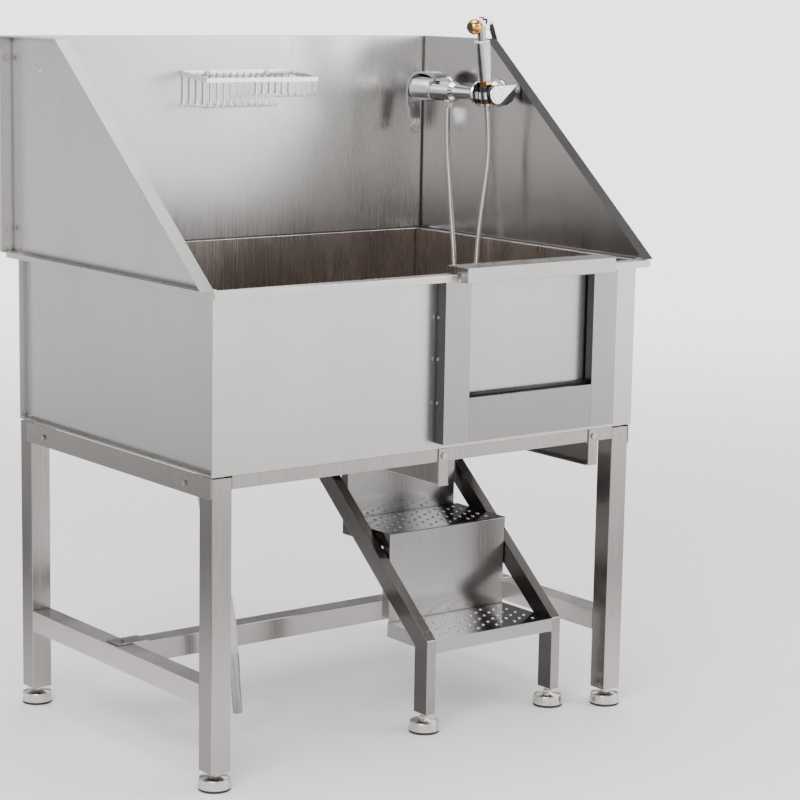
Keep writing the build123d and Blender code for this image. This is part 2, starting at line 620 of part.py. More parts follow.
CLAMP_R = INSERT_R + 3
PIN_R = 5.0
with BuildPart() as holder_cup:
    # clamp ring round the insert, an arm to the mixer and the pin of the knob
    drum(cup_foot + handset_up * 12, handset_up, CLAMP_R, 16)
    drum((MIXER_X + 6, NECK_END, MIXER_Z - 1), (0, -1, 0), 8, 12)
    drum((MIXER_X, HANDSET_Y - CLAMP_R + 6, MIXER_Z), (0, -1, 0), PIN_R, 21)
    drum(cup_foot, handset_up, INSERT_R, INSERT_H, Mode.SUBTRACT)
save(holder_cup, "holder_cup")

KNOB_R = 22.0
KNOB_BACK = 59.0
with BuildPart() as holder_knob:
    # drop-shaped tightening lever: a round head with a wing towards the wall
    tip = (MIXER_X + 61, MIXER_Z + 24)
    reach = hypot(tip[0] - MIXER_X, tip[1] - MIXER_Z)
    aim = atan2(tip[1] - MIXER_Z, tip[0] - MIXER_X)
    with BuildSketch(Plane(origin=(MIXER_X, KNOB_Y + 13, MIXER_Z), x_dir=(1, 0, 0),
                           z_dir=(0, -1, 0))):
        Circle(KNOB_R)
        touch = []
        for sign in (-1, 1):
            angle = aim + sign * acos(KNOB_R / reach)
            touch.append((KNOB_R * cos(angle), KNOB_R * sin(angle)))
        with BuildLine():
            Polyline(touch[0], (tip[0] - MIXER_X, tip[1] - MIXER_Z), touch[1], close=True)
        make_face()
    extrude(amount=13)
    chamfer(holder_knob.faces().sort_by(Axis.Y)[0].edges(), 1.2)
    with BuildSketch(Plane(origin=(MIXER_X, KNOB_Y, MIXER_Z), x_dir=(1, 0, 0),
                           z_dir=(0, -1, 0))):
        Circle(15.5)
        Circle(14.3, mode=Mode.SUBTRACT)
    extrude(amount=-0.8, mode=Mode.SUBTRACT)
    # a skirt behind the head fills the corner under the wing
    with BuildSketch(Plane(origin=(MIXER_X, KNOB_Y + 19, MIXER_Z), x_dir=(1, 0, 0),
                           z_dir=(0, -1, 0))):
        with BuildLine():
            Polyline((0, 0), (tip[0] - MIXER_X, tip[1] - MIXER_Z), (56, -16), (36, -26),
                     (2, -25), close=True)
        make_face()
    extrude(amount=8)
    drum((MIXER_X, KNOB_BACK, MIXER_Z), (0, -1, 0), 12, KNOB_BACK - KNOB_Y - 5)
    drum((MIXER_X, KNOB_BACK + 1, MIXER_Z), (0, -1, 0), PIN_R + RUNNING, 18, Mode.SUBTRACT)
save(holder_knob, "holder_knob")

# ---------------------------------------------------------------- handset
HANDLE_R = 19.0                # at the top; the grip narrows towards the cup
HANDLE_FOOT_R = 16.0
HANDLE_START = 14.0
HANDLE_END = 106.0
STEM_DROP = 44.0


def along(distance):
    """A point on the handset's axis, measured up from the top of its cup."""
    return cup_top + handset_up * distance


with BuildPart() as sprayer_collar:
    # brass hose fitting: a hexagon on the cup and a stem through it to the hose
    hexagon(along(0), handset_up, 16, HANDLE_START)
    drum(along(-STEM_DROP), handset_up, STEM_R, STEM_DROP)
save(sprayer_collar, "sprayer_collar")

grip_middle = along((HANDLE_START + HANDLE_END) / 2)
with BuildPart() as sprayer_handle:
    with Locations(Plane(origin=grip_middle, z_dir=handset_up)):
        Cone(HANDLE_FOOT_R, HANDLE_R, HANDLE_END - HANDLE_START)
    fillet(sprayer_handle.edges().filter_by(GeomType.CIRCLE), 2.0)
save(sprayer_handle, "sprayer_handle")

with BuildPart() as sprayer_ring:
    drum(along(HANDLE_END), handset_up, HANDLE_R - 0.5, 4)
save(sprayer_ring, "sprayer_ring")

BALL = (466.0, HANDSET_Y, 1552.0)
BALL_R = 18.5
PIVOT = (503.0, 1565.0)
HEAD_HALF = 6.5
with BuildPart() as sprayer_head:
    # neck, valve block, ball nozzle and the trigger's pin
    drum(along(HANDLE_END + 4), handset_up, 10, 34)
    block((472, 506), (HANDSET_Y - HEAD_HALF, HANDSET_Y + HEAD_HALF), (1543, 1568))
    with BuildSketch(Plane.XZ.offset(-HANDSET_Y)):
        with Locations((BALL[0], BALL[2])):
            Circle(BALL_R)
            with Locations((0, -BALL_R)):
                Rectangle(2 * BALL_R, 2 * BALL_R, mode=Mode.SUBTRACT)
    revolve(axis=Axis(BALL, (1, 0, 0)))
    drum((BALL[0] - BALL_R - 1, BALL[1], BALL[2]), (1, 0, 0), 10, 6, Mode.SUBTRACT)
    drum((PIVOT[0], HANDSET_Y - 10, PIVOT[1]), (0, 1, 0), 2.5, 20)
save(sprayer_head, "sprayer_head")

with BuildPart() as sprayer_nozzle:
    drum((BALL[0] - BALL_R + 1.5, BALL[1], BALL[2]), (1, 0, 0), 9.7, 3.5)
save(sprayer_nozzle, "sprayer_nozzle")

with BuildPart() as sprayer_trigger:
    # bent lever with two cheeks on the pin
    with BuildSketch(Plane.XZ.offset(-HANDSET_Y - 10)):
        with BuildLine():
            Polyline((485, 1572), (487, 1576), (507, 1576.5), (516, 1568), (532, 1525),
                     (528, 1523), (511, 1565.5), (505.5, 1572), close=True)
        make_face()
    extrude(amount=20)
    for low, high in ((-10, -HEAD_HALF - 0.5), (HEAD_HALF + 0.5, 10)):
        block((496, 510), (HANDSET_Y + low, HANDSET_Y + high), (1559, 1573))
    drum((PIVOT[0], HANDSET_Y - 11, PIVOT[1]), (0, 1, 0), 2.5 + RUNNING, 22, Mode.SUBTRACT)
save(sprayer_trigger, "sprayer_trigger")

# ---------------------------------------------------------------- hoses
stem_end = along(-STEM_DROP)
shower_route = [(MIXER_X, OUTLET_Y, OUTLET_Z), (MIXER_X, OUTLET_Y, 1275), (503, 213, 1178),
                (502, 198, 1078), (501, 183, 985), (499, 183, 898), (500, 195, 815),
                (503, 211, 750), (505, 196, 700), (503, 156, 681), (499, 118, 681),
                (497, 82, 702), (496, 72, 750), (495, 80, 820), (496, 90, 905),
                (498, 96, 995), (502, 92, 1080), (510, 87, 1160), (518, 83.5, 1238),
                tuple(stem_end - handset_up * 60), tuple(stem_end)]
hose("shower_hose", shower_route, HOSE_D, HOSE_D - 4)

TAIL_TOP = (-319.0, DRAIN_Y, 195.0)
drain_route = [(DRAIN_X, DRAIN_Y, 600), (DRAIN_X, DRAIN_Y, 552), (-385, DRAIN_Y, 488),
               (-355, DRAIN_Y + 1, 392), (-328, DRAIN_Y, 290), TAIL_TOP]
hose("drain_hose", drain_route, DRAIN_HOSE_D, DRAIN_HOSE_D - 6)

# ---------------------------------------------------------------- drain
with BuildPart() as drain_flange:
    # flange in the tub floor with its waste body, stepped down to the hose
    drum((DRAIN_X, DRAIN_Y, TUB_Z + SHEET), (0, 0, 1), 38, 3)
    drum((DRAIN_X, DRAIN_Y, 632), (0, 0, 1), DRAIN_R - 0.5, TUB_Z + SHEET - 632)
    drum((DRAIN_X, DRAIN_Y, 600), (0, 0, 1), DRAIN_HOSE_D / 2, 32)
    drum((DRAIN_X, DRAIN_Y, 636), (0, 0, 1), DRAIN_R - 3.5, 40, Mode.SUBTRACT)
    drum((DRAIN_X, DRAIN_Y, TUB_Z + SHEET + 1), (0, 0, 1), DRAIN_R - 0.5, 4, Mode.SUBTRACT)
    drum((DRAIN_X, DRAIN_Y, 599), (0, 0, 1), DRAIN_HOSE_D / 2 - 3, 40, Mode.SUBTRACT)
save(drain_flange, "drain_flange")

with BuildPart() as drain_locknut:
    hexagon((DRAIN_X, DRAIN_Y, TUB_Z - 10), (0, 0, 1), 36, 10)
    drum((DRAIN_X, DRAIN_Y, TUB_Z - 11), (0, 0, 1), DRAIN_R - 0.5, 12, Mode.SUBTRACT)
save(drain_locknut, "drain_locknut")

with BuildPart() as drain_strainer:
    # loose perforated disc that lifts out
    strainer_z = TUB_Z + SHEET + 1.4
    drum((DRAIN_X, DRAIN_Y, strainer_z), (0, 0, 1), DRAIN_R - 1, 2)
    with BuildSketch(Plane.XY.offset(strainer_z)):
        for ring, count in ((7, 6), (14, 12), (20, 16)):
            with Locations((DRAIN_X, DRAIN_Y)):
                with PolarLocations(ring, count):
                    Circle(1.8)
    extrude(amount=2, mode=Mode.SUBTRACT)
save(drain_strainer, "drain_strainer")

tail_aim = Vector(*TAIL_TOP) - Vector(*drain_route[-2])
tail_aim = tail_aim.normalized()
with BuildPart() as drain_tail:
    drum(TAIL_TOP, tail_aim, 12.5, 45)
    drum(Vector(*TAIL_TOP) + tail_aim * 45, tail_aim, 11, 95)
    drum(TAIL_TOP, tail_aim, 8.5, 141, Mode.SUBTRACT)
    drum(Vector(*TAIL_TOP) - tail_aim, tail_aim, 8.5, 10, Mode.SUBTRACT)
save(drain_tail, "drain_tail")

# ---------------------------------------------------------------- basket
left, step_x, right = BASKET_X
deep, shallow = BASKET_FLOOR
wall = PANEL_Y
with BuildPart() as basket_bands:
    # flat bands round the top: back, front and the two sloping ends
    block((left, right), (wall - 2, wall), (BASKET_TOP - 14, BASKET_TOP))
    block((left, right), (BASKET_FRONT, BASKET_FRONT + 2),
          (BASKET_FRONT_TOP - 10, BASKET_FRONT_TOP))
    for end in (left, right - 2):
        with BuildSketch(Plane.YZ.offset(end)):
            Polygon((BASKET_FRONT, BASKET_FRONT_TOP - 10), (wall, BASKET_TOP - 12),
                    (wall, BASKET_TOP), (BASKET_FRONT, BASKET_FRONT_TOP), align=None)
        extrude(amount=2)
    for screw_x in BASKET_SCREWS:
        drum((screw_x, wall - 3, BASKET_TOP - 7), (0, 1, 0), 3.3, 4, Mode.SUBTRACT)
save(basket_bands, "basket_bands")

front_y = BASKET_FRONT + 2 + WIRE_D / 2
back_y = wall - 2 - WIRE_D / 2
with BuildPart() as basket_wires:
    # U-shaped wires from band to band, tied by long wires under the floor
    for low, high, floor in ((left + 6, step_x, deep), (step_x + 17, right - 6, shallow)):
        count = int((high - low) / WIRE_PITCH) + 1
        pitch = (high - low) / (count - 1)
        for index in range(count):
            wire_x = low + index * pitch
            with BuildLine() as bend:
                FilletPolyline((wire_x, front_y, BASKET_FRONT_TOP - 2),
                               (wire_x, front_y, floor), (wire_x, back_y, floor),
                               (wire_x, back_y, BASKET_TOP - 4), radius=8)
            with BuildSketch(Plane(origin=bend.line @ 0, z_dir=bend.line % 0)):
                Circle(WIRE_D / 2)
            sweep()
        for tie_y in (front_y + 25, back_y - 25):
            drum((low, tie_y, floor - 1), (1, 0, 0), WIRE_D / 2, high - low)
    for tie_y in (front_y + 40, back_y - 40):
        drum((step_x - 1, tie_y, deep), (0, 0, 1), WIRE_D / 2, shallow - deep)
        drum((step_x - 1, tie_y, shallow), (1, 0, 0), WIRE_D / 2, 20)
save(basket_wires, "basket_wires")
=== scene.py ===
import bpy
import json
from math import cos, pi, radians, sin
from mathutils import Matrix, Vector


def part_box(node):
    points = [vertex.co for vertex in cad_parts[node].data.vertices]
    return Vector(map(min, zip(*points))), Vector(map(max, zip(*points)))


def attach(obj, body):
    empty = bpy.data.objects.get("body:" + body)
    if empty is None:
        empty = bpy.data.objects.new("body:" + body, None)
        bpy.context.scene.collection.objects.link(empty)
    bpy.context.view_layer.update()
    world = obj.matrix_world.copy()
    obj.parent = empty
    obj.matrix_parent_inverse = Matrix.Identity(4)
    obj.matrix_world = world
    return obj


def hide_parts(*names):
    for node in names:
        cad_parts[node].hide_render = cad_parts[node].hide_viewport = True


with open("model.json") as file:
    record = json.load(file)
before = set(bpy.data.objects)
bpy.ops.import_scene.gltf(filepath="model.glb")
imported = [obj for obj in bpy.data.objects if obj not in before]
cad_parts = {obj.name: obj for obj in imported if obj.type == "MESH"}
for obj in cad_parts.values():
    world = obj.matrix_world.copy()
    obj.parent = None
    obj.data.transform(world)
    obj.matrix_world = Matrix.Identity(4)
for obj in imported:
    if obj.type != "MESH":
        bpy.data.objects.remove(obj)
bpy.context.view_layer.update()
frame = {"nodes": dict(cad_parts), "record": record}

MM = 0.001
ROOT = "tub_and_frame"
nodes = frame["nodes"]
scene = bpy.context.scene
materials = {}                  # by the names asked for here, which others may share


# ---------------------------------------------------------------- camera
CAMERA_AT = (-3.1791, -4.4059, 1.6590)
AZIMUTH, TILT, ROLL = radians(37.49), radians(-9.83), radians(1.0)
SENSOR, LENS = 36.0, 109.2      # millimetres


def make_camera():
    """A long lens from the front left, a little above the rim."""
    ahead = Vector((sin(AZIMUTH) * cos(TILT), cos(AZIMUTH) * cos(TILT), sin(TILT)))
    right = Vector((cos(AZIMUTH), -sin(AZIMUTH), 0))
    up = right.cross(ahead)
    across = right * cos(ROLL) + up * sin(ROLL)
    upward = up * cos(ROLL) - right * sin(ROLL)
    data = bpy.data.cameras.new("camera")
    data.sensor_width = SENSOR
    data.lens = LENS
    data.clip_end = 100.0
    camera = bpy.data.objects.new("camera", data)
    turn = Matrix((across, upward, -ahead)).transposed().to_4x4()
    camera.matrix_world = Matrix.Translation(CAMERA_AT) @ turn
    scene.collection.objects.link(camera)
    scene.camera = camera


# ---------------------------------------------------------------- shader nodes
VALUE_RESULTS = ("DISTANCE", "DOT_PRODUCT", "LENGTH")


def link(tree, start, end):
    tree.links.new(start, end)


def coordinates(tree, kind):
    """Texture coordinates: Object, Generated or Normal."""
    return tree.nodes.new("ShaderNodeTexCoord").outputs[kind]


def compute(tree, operation, first, second):
    """The result of one Math node; second is a socket or a number."""
    node = tree.nodes.new("ShaderNodeMath")
    node.operation = operation
    link(tree, first, node.inputs[0])
    if isinstance(second, float):
        node.inputs[1].default_value = second
    else:
        link(tree, second, node.inputs[1])
    return node.outputs[0]


def vector_math(tree, operation, first, second=None):
    """The result of one Vector Math node; second is a constant vector."""
    node = tree.nodes.new("ShaderNodeVectorMath")
    node.operation = operation
    link(tree, first, node.inputs[0])
    if second is not None:
        node.inputs[1].default_value = second
    return node.outputs["Value" if operation in VALUE_RESULTS else "Vector"]


def split_axes(tree, vector):
    """The x, y and z of a vector."""
    node = tree.nodes.new("ShaderNodeSeparateXYZ")
    link(tree, vector, node.inputs[0])
    return node.outputs


def remap(tree, value, low, high, start=0.3, end=0.7, interpolation="LINEAR"):
    """Value between start and end spread from low to high."""
    node = tree.nodes.new("ShaderNodeMapRange")
    node.interpolation_type = interpolation
    node.inputs["From Min"].default_value = start
    node.inputs["From Max"].default_value = end
    node.inputs["To Min"].default_value = low
    node.inputs["To Max"].default_value = high
    link(tree, value, node.inputs["Value"])
    return node.outputs[0]


def noise(tree, coords, scale, stretch=(1, 1, 1), detail=3.0):
    """Noise squeezed along the axes by stretch."""
    mapping = tree.nodes.new("ShaderNodeMapping")
    mapping.inputs["Scale"].default_value = stretch
    link(tree, coords, mapping.inputs["Vector"])
    texture = tree.nodes.new("ShaderNodeTexNoise")
    texture.inputs["Scale"].default_value = scale
    texture.inputs["Detail"].default_value = detail
    link(tree, mapping.outputs[0], texture.inputs["Vector"])
    return texture.outputs["Fac"]


def mix_colours(tree, factor, first, second, blend="MIX"):
    """First colour at factor 0, second at 1; each is a socket or three numbers."""
    node = tree.nodes.new("ShaderNodeMix")
    node.data_type = "RGBA"
    node.blend_type = blend
    link(tree, factor, node.inputs["Factor"])
    for side, colour in (("A", first), ("B", second)):
        if isinstance(colour, tuple):
            node.inputs[side].default_value = (*colour, 1)
        else:
            link(tree, colour, node.inputs[side])
    return node.outputs["Result"]


def mix_shaders(tree, factor, first, second):
    """First shader at factor 0, second at 1."""
    node = tree.nodes.new("ShaderNodeMixShader")
    link(tree, factor, node.inputs[0])
    link(tree, first.outputs[0], node.inputs[1])
    link(tree, second.outputs[0], node.inputs[2])
    return node


def bump(tree, shader, value, strength, depth):
    node = tree.nodes.new("ShaderNodeBump")
    node.inputs["Strength"].default_value = strength
    node.inputs["Distance"].default_value = depth
    link(tree, value, node.inputs["Height"])
    link(tree, node.outputs[0], shader.inputs["Normal"])


def new_material(name):
    """The node tree and the main shader of a new material."""
    material = bpy.data.materials.new(name)
    material.use_nodes = True
    materials[name] = material
    return material.node_tree, material.node_tree.nodes["Principled BSDF"]


# ---------------------------------------------------------------- light and floor
SEEN = (2.75, 2.77, 2.85)       # the studio's white, as the camera sees it
FILL_POWER = 1.7                # what lights the matt surfaces
MIRRORED_POWER = 2.9            # what the metal mirrors, at the bright side
BRIGHT_SIDE = (0.90, -0.44, 0.0)
BANDS = (                       # from straight down at 0 to straight up at 1
    (0.0, (0.40, 0.39, 0.38)), (0.49, (0.80, 0.79, 0.78)), (0.55, (0.62, 0.62, 0.62)),
    (0.60, (0.06, 0.06, 0.06)), (0.67, (0.08, 0.08, 0.08)), (0.70, (0.85, 0.85, 0.87)),
    (0.80, (0.80, 0.80, 0.82)), (0.84, (0.16, 0.16, 0.16)), (1.0, (0.24, 0.24, 0.24)))


def side_shade(tree, vector):
    """From 0.5 at the back left of the studio to 1 at the front right."""
    unit = vector_math(tree, "NORMALIZE", vector)
    towards = vector_math(tree, "DOT_PRODUCT", unit, BRIGHT_SIDE)
    return remap(tree, towards, 0.5, 1.0, -0.9, 0.9, "SMOOTHSTEP")


def make_world():
    """A pale studio: what the camera sees is even, what the metal mirrors is banded."""
    world = bpy.data.worlds.new("studio")
    scene.world = world
    world.use_nodes = True
    tree = world.node_tree
    tree.nodes.clear()
    coords = coordinates(tree, "Generated")
    ramp = tree.nodes.new("ShaderNodeValToRGB")
    height = remap(tree, split_axes(tree, coords)["Z"], 0.0, 1.0, -1.0, 1.0)
    link(tree, height, ramp.inputs[0])
    elements = ramp.color_ramp.elements
    for element, (place, colour) in zip(elements, (BANDS[0], BANDS[-1])):
        element.position = place
        element.color = (*colour, 1)
    for place, colour in BANDS[1:-1]:
        elements.new(place).color = (*colour, 1)
    mirrored, fill, seen = (tree.nodes.new("ShaderNodeBackground") for part in range(3))
    link(tree, ramp.outputs[0], mirrored.inputs["Color"])
    link(tree, compute(tree, "MULTIPLY", side_shade(tree, coords), MIRRORED_POWER),
         mirrored.inputs["Strength"])
    fill.inputs["Color"].default_value = (1.0, 1.0, 1.0, 1)
    fill.inputs["Strength"].default_value = FILL_POWER
    seen.inputs["Color"].default_value = (*SEEN, 1)
    rays = tree.nodes.new("ShaderNodeLightPath")
    lit = mix_shaders(tree, rays.outputs["Is Diffuse Ray"], mirrored, fill)
    whole = mix_shaders(tree, rays.outputs["Is Camera Ray"], lit, seen)
    out = tree.nodes.new("ShaderNodeOutputWorld")
    link(tree, whole.outputs[0], out.inputs["Surface"])


LAMPS = (                       # name, place, target, size and power in watts
    ("key_light", (-3.2, -2.6, 3.6), (0, 0, 0.9), (2.4, 2.4), 220),
    ("fill_light", (3.4, -3.2, 2.6), (0, 0, 0.9), (2.0, 2.6), 90),
    ("top_light", (0, 0.3, 4.4), (0, 0, 0), (3.0, 2.4), 140))


def softbox(name, place, target, size, power):
    """A large rectangular lamp aimed at a point."""
    data = bpy.data.lights.new(name, "AREA")
    data.shape = "RECTANGLE"
    data.size, data.size_y = size
    data.energy = power
    lamp = bpy.data.objects.new(name, data)
    lamp.location = place
    aim = Vector(target) - Vector(place)
    lamp.rotation_euler = aim.to_track_quat("-Z", "Y").to_euler()
    scene.collection.objects.link(lamp)


FLOOR_REACH = 40.0
HAZE_FADE = (1.2, 7.5)          # where the camera sees the floor turn into white
MIRROR_FADE = (0.7, 2.2)        # where the metal mirrors it as a glow
GLOW_POWER = (0.95, 2.6)        # at the two distances of GLOW_FADE
GLOW_FADE = (2.0, 7.0)


def make_floor():
    """A pale floor that brightens with distance into the studio's white."""
    mesh = bpy.data.meshes.new("floor")
    mesh.from_pydata([(x * FLOOR_REACH, y * FLOOR_REACH, 0)
                      for x, y in ((-1, -1), (1, -1), (1, 1), (-1, 1))],
                     [], [(0, 1, 2, 3)])
    floor = bpy.data.objects.new("floor", mesh)
    tree, shader = new_material("studio_floor")
    shader.inputs["Base Color"].default_value = (0.70, 0.705, 0.71, 1)
    shader.inputs["Roughness"].default_value = 0.45
    coords = coordinates(tree, "Object")
    far = vector_math(tree, "LENGTH", coords)
    haze, glow = (tree.nodes.new("ShaderNodeEmission") for part in range(2))
    haze.inputs["Color"].default_value = (*SEEN, 1)
    link(tree, compute(tree, "MULTIPLY", remap(tree, far, *GLOW_POWER, *GLOW_FADE),
                       side_shade(tree, coords)),
         glow.inputs["Strength"])
    hazy = mix_shaders(tree, remap(tree, far, 0.0, 1.0, *HAZE_FADE, "SMOOTHSTEP"),
                       shader, haze)
    mirrored = mix_shaders(tree, remap(tree, far, 0.0, 1.0, *MIRROR_FADE, "SMOOTHSTEP"),
                           shader, glow)
    rays = tree.nodes.new("ShaderNodeLightPath")
    whole = mix_shaders(tree, rays.outputs["Is Camera Ray"], mirrored, hazy)
    link(tree, whole.outputs[0], tree.nodes["Material Output"].inputs["Surface"])
    mesh.materials.append(materials["studio_floor"])
    scene.collection.objects.link(floor)


# ---------------------------------------------------------------- materials
CLOUD_SCALE = 3.5               # soft changes of tone over a sheet
SMUDGE_SCALE = 9.0
CREASE_SHADE_SHARE = 0.22              # painted shade in a crease, as a share of the steel's dark tone
CREASE_OPEN = (0.15, 0.75)      # ambient occlusion, from full painted shade to none
CREASE_REACH = 0.016
CREASE_RAYS = 6
FACING = 0.93                   # cosine of the widest angle that still faces a direction
UPRIGHT_GRAIN = (600, 600, 7)
CROSS_GRAIN = (7, 600, 600)
KNOB_GRAIN = (300, 300, 300)
HOSE_GRAIN = (200, 200, 200)

SHEET_TONES = ((0.50, 0.488, 0.478), (0.56, 0.548, 0.538))
TUBE_TONES = ((0.36, 0.33, 0.318), (0.44, 0.41, 0.398))
TREAD_TONES = ((0.30, 0.29, 0.285), (0.36, 0.35, 0.345))
KNOB_TONES = ((0.66, 0.66, 0.68), (0.72, 0.72, 0.74))
HOSE_TONES = ((0.34, 0.32, 0.29), (0.46, 0.43, 0.40))

LEFT = (-1.0, 0.0, 0.0)
UP = (0.0, 0.0, 1.0)
SLOPE = (0.0, -0.639, 0.769)    # the way the splash panels' sloping edges face
# the tub's inside, darkened and warmed as painted shade
TUB_INSIDE = ((-0.554, -0.387, 0.666), (0.554, 0.409, 1.043))
# the knob's rear, painted near black as shade
KNOB_SHADED_REAR = ((0.40, 0.0395, 1.30), (0.60, 0.10, 1.50))
BALL = (0.466, 0.082, 1.552)    # middle of the sprayer's ball nozzle
BALL_REACH = 0.0192


def in_box(tree, coords, low, high):
    """1 inside a box, 0 outside."""
    low, high = Vector(low), Vector(high)
    offset = vector_math(tree, "SUBTRACT", coords, (low + high) / 2)
    share = vector_math(tree, "DIVIDE", offset, (high - low) / 2)
    x, y, z = split_axes(tree, vector_math(tree, "ABSOLUTE", share))
    most = compute(tree, "MAXIMUM", compute(tree, "MAXIMUM", x, y), z)
    return compute(tree, "LESS_THAN", most, 1.0)


def facing(tree, direction):
    """1 where the surface faces a direction, 0 elsewhere."""
    cosine = vector_math(tree, "DOT_PRODUCT", coordinates(tree, "Normal"), direction)
    return compute(tree, "GREATER_THAN", cosine, FACING)


def steel(name, tones, factor, rough, grain=UPRIGHT_GRAIN, box=None, direction=None,
          painted_shade=None, reach=CREASE_REACH):
    """Brushed steel with a fine directional grain, faint smudges and soft changes of tone.

    The factor scales both tones: below 1 as painted shade, above 1 as painted light. A
    patch of painted shade dims what lies in a box, or what faces a direction. Reach is how
    far from a crease its painted dark line of shade spreads.
    """
    tree, shader = new_material(name)
    coords = coordinates(tree, "Object")
    shader.inputs["Metallic"].default_value = 1.0
    dark, light = (tuple(value * factor for value in tone) for tone in tones)
    hairline = noise(tree, coords, 1.0, grain, 2.0)
    cloud = noise(tree, coords, CLOUD_SCALE)
    tone = compute(tree, "ADD", remap(tree, cloud, 0.0, 0.5), remap(tree, hairline, 0.0, 0.5))
    colour = mix_colours(tree, tone, dark, light)
    # Painted shade: a darker colour multiplied over a box, or over faces that face one way
    if painted_shade:
        shade_mask = in_box(tree, coords, *box) if box else facing(tree, direction)
        colour = mix_colours(tree, shade_mask, colour, painted_shade, "MULTIPLY")
    # Painted shade: ambient occlusion darkens the colour in creases and seams, where shade
    # falls
    crease = tree.nodes.new("ShaderNodeAmbientOcclusion")
    crease.samples = CREASE_RAYS
    crease.inputs["Distance"].default_value = reach
    unshaded = remap(tree, crease.outputs["AO"], 0.0, 1.0, *CREASE_OPEN)
    crease_shade = tuple(CREASE_SHADE_SHARE * value for value in dark)
    link(tree, mix_colours(tree, unshaded, crease_shade, colour), shader.inputs["Base Color"])
    smudge = noise(tree, coords, SMUDGE_SCALE, (1, 1, 0.4), 5.0)
    streaked = compute(tree, "ADD", remap(tree, hairline, -0.03, 0.04),
                       remap(tree, smudge, rough - 0.03, rough + 0.04))
    link(tree, streaked, shader.inputs["Roughness"])
    bump(tree, shader, hairline, strength=0.11, depth=0.00002)


def water_marks(tree, shader, coords):
    """Faint marks that dried water leaves, also as a slight relief."""
    marks = noise(tree, coords, 60.0, detail=4.0)
    bump(tree, shader, marks, strength=0.05, depth=0.0002)
    return marks


def polished(name, dark, light, rough):
    """Polished metal with faint water marks."""
    tree, shader = new_material(name)
    shader.inputs["Metallic"].default_value = 1.0
    marks = water_marks(tree, shader, coordinates(tree, "Object"))
    link(tree, mix_colours(tree, marks, dark, light), shader.inputs["Base Color"])
    link(tree, remap(tree, marks, rough * 0.7, rough * 1.6), shader.inputs["Roughness"])


def two_metals(name, inner, outer, rough, centre, reach):
    """Polished: inner metal within reach of a point, outer metal beyond it."""
    tree, shader = new_material(name)
    coords = coordinates(tree, "Object")
    shader.inputs["Metallic"].default_value = 1.0
    shader.inputs["Roughness"].default_value = rough
    away = vector_math(tree, "DISTANCE", coords, centre)
    beyond = remap(tree, away, 0.0, 1.0, reach - 0.0002, reach + 0.0002)
    link(tree, mix_colours(tree, beyond, inner, outer), shader.inputs["Base Color"])
    water_marks(tree, shader, coords)


def plain(name, dark, light, rough):
    """Rubber or moulded plastic with a fine texture."""
    tree, shader = new_material(name)
    speckle = noise(tree, coordinates(tree, "Object"), 90.0, detail=4.0)
    link(tree, mix_colours(tree, speckle, dark, light), shader.inputs["Base Color"])
    link(tree, remap(tree, speckle, rough - 0.08, rough + 0.08), shader.inputs["Roughness"])
    bump(tree, shader, speckle, strength=0.25, depth=0.0003)


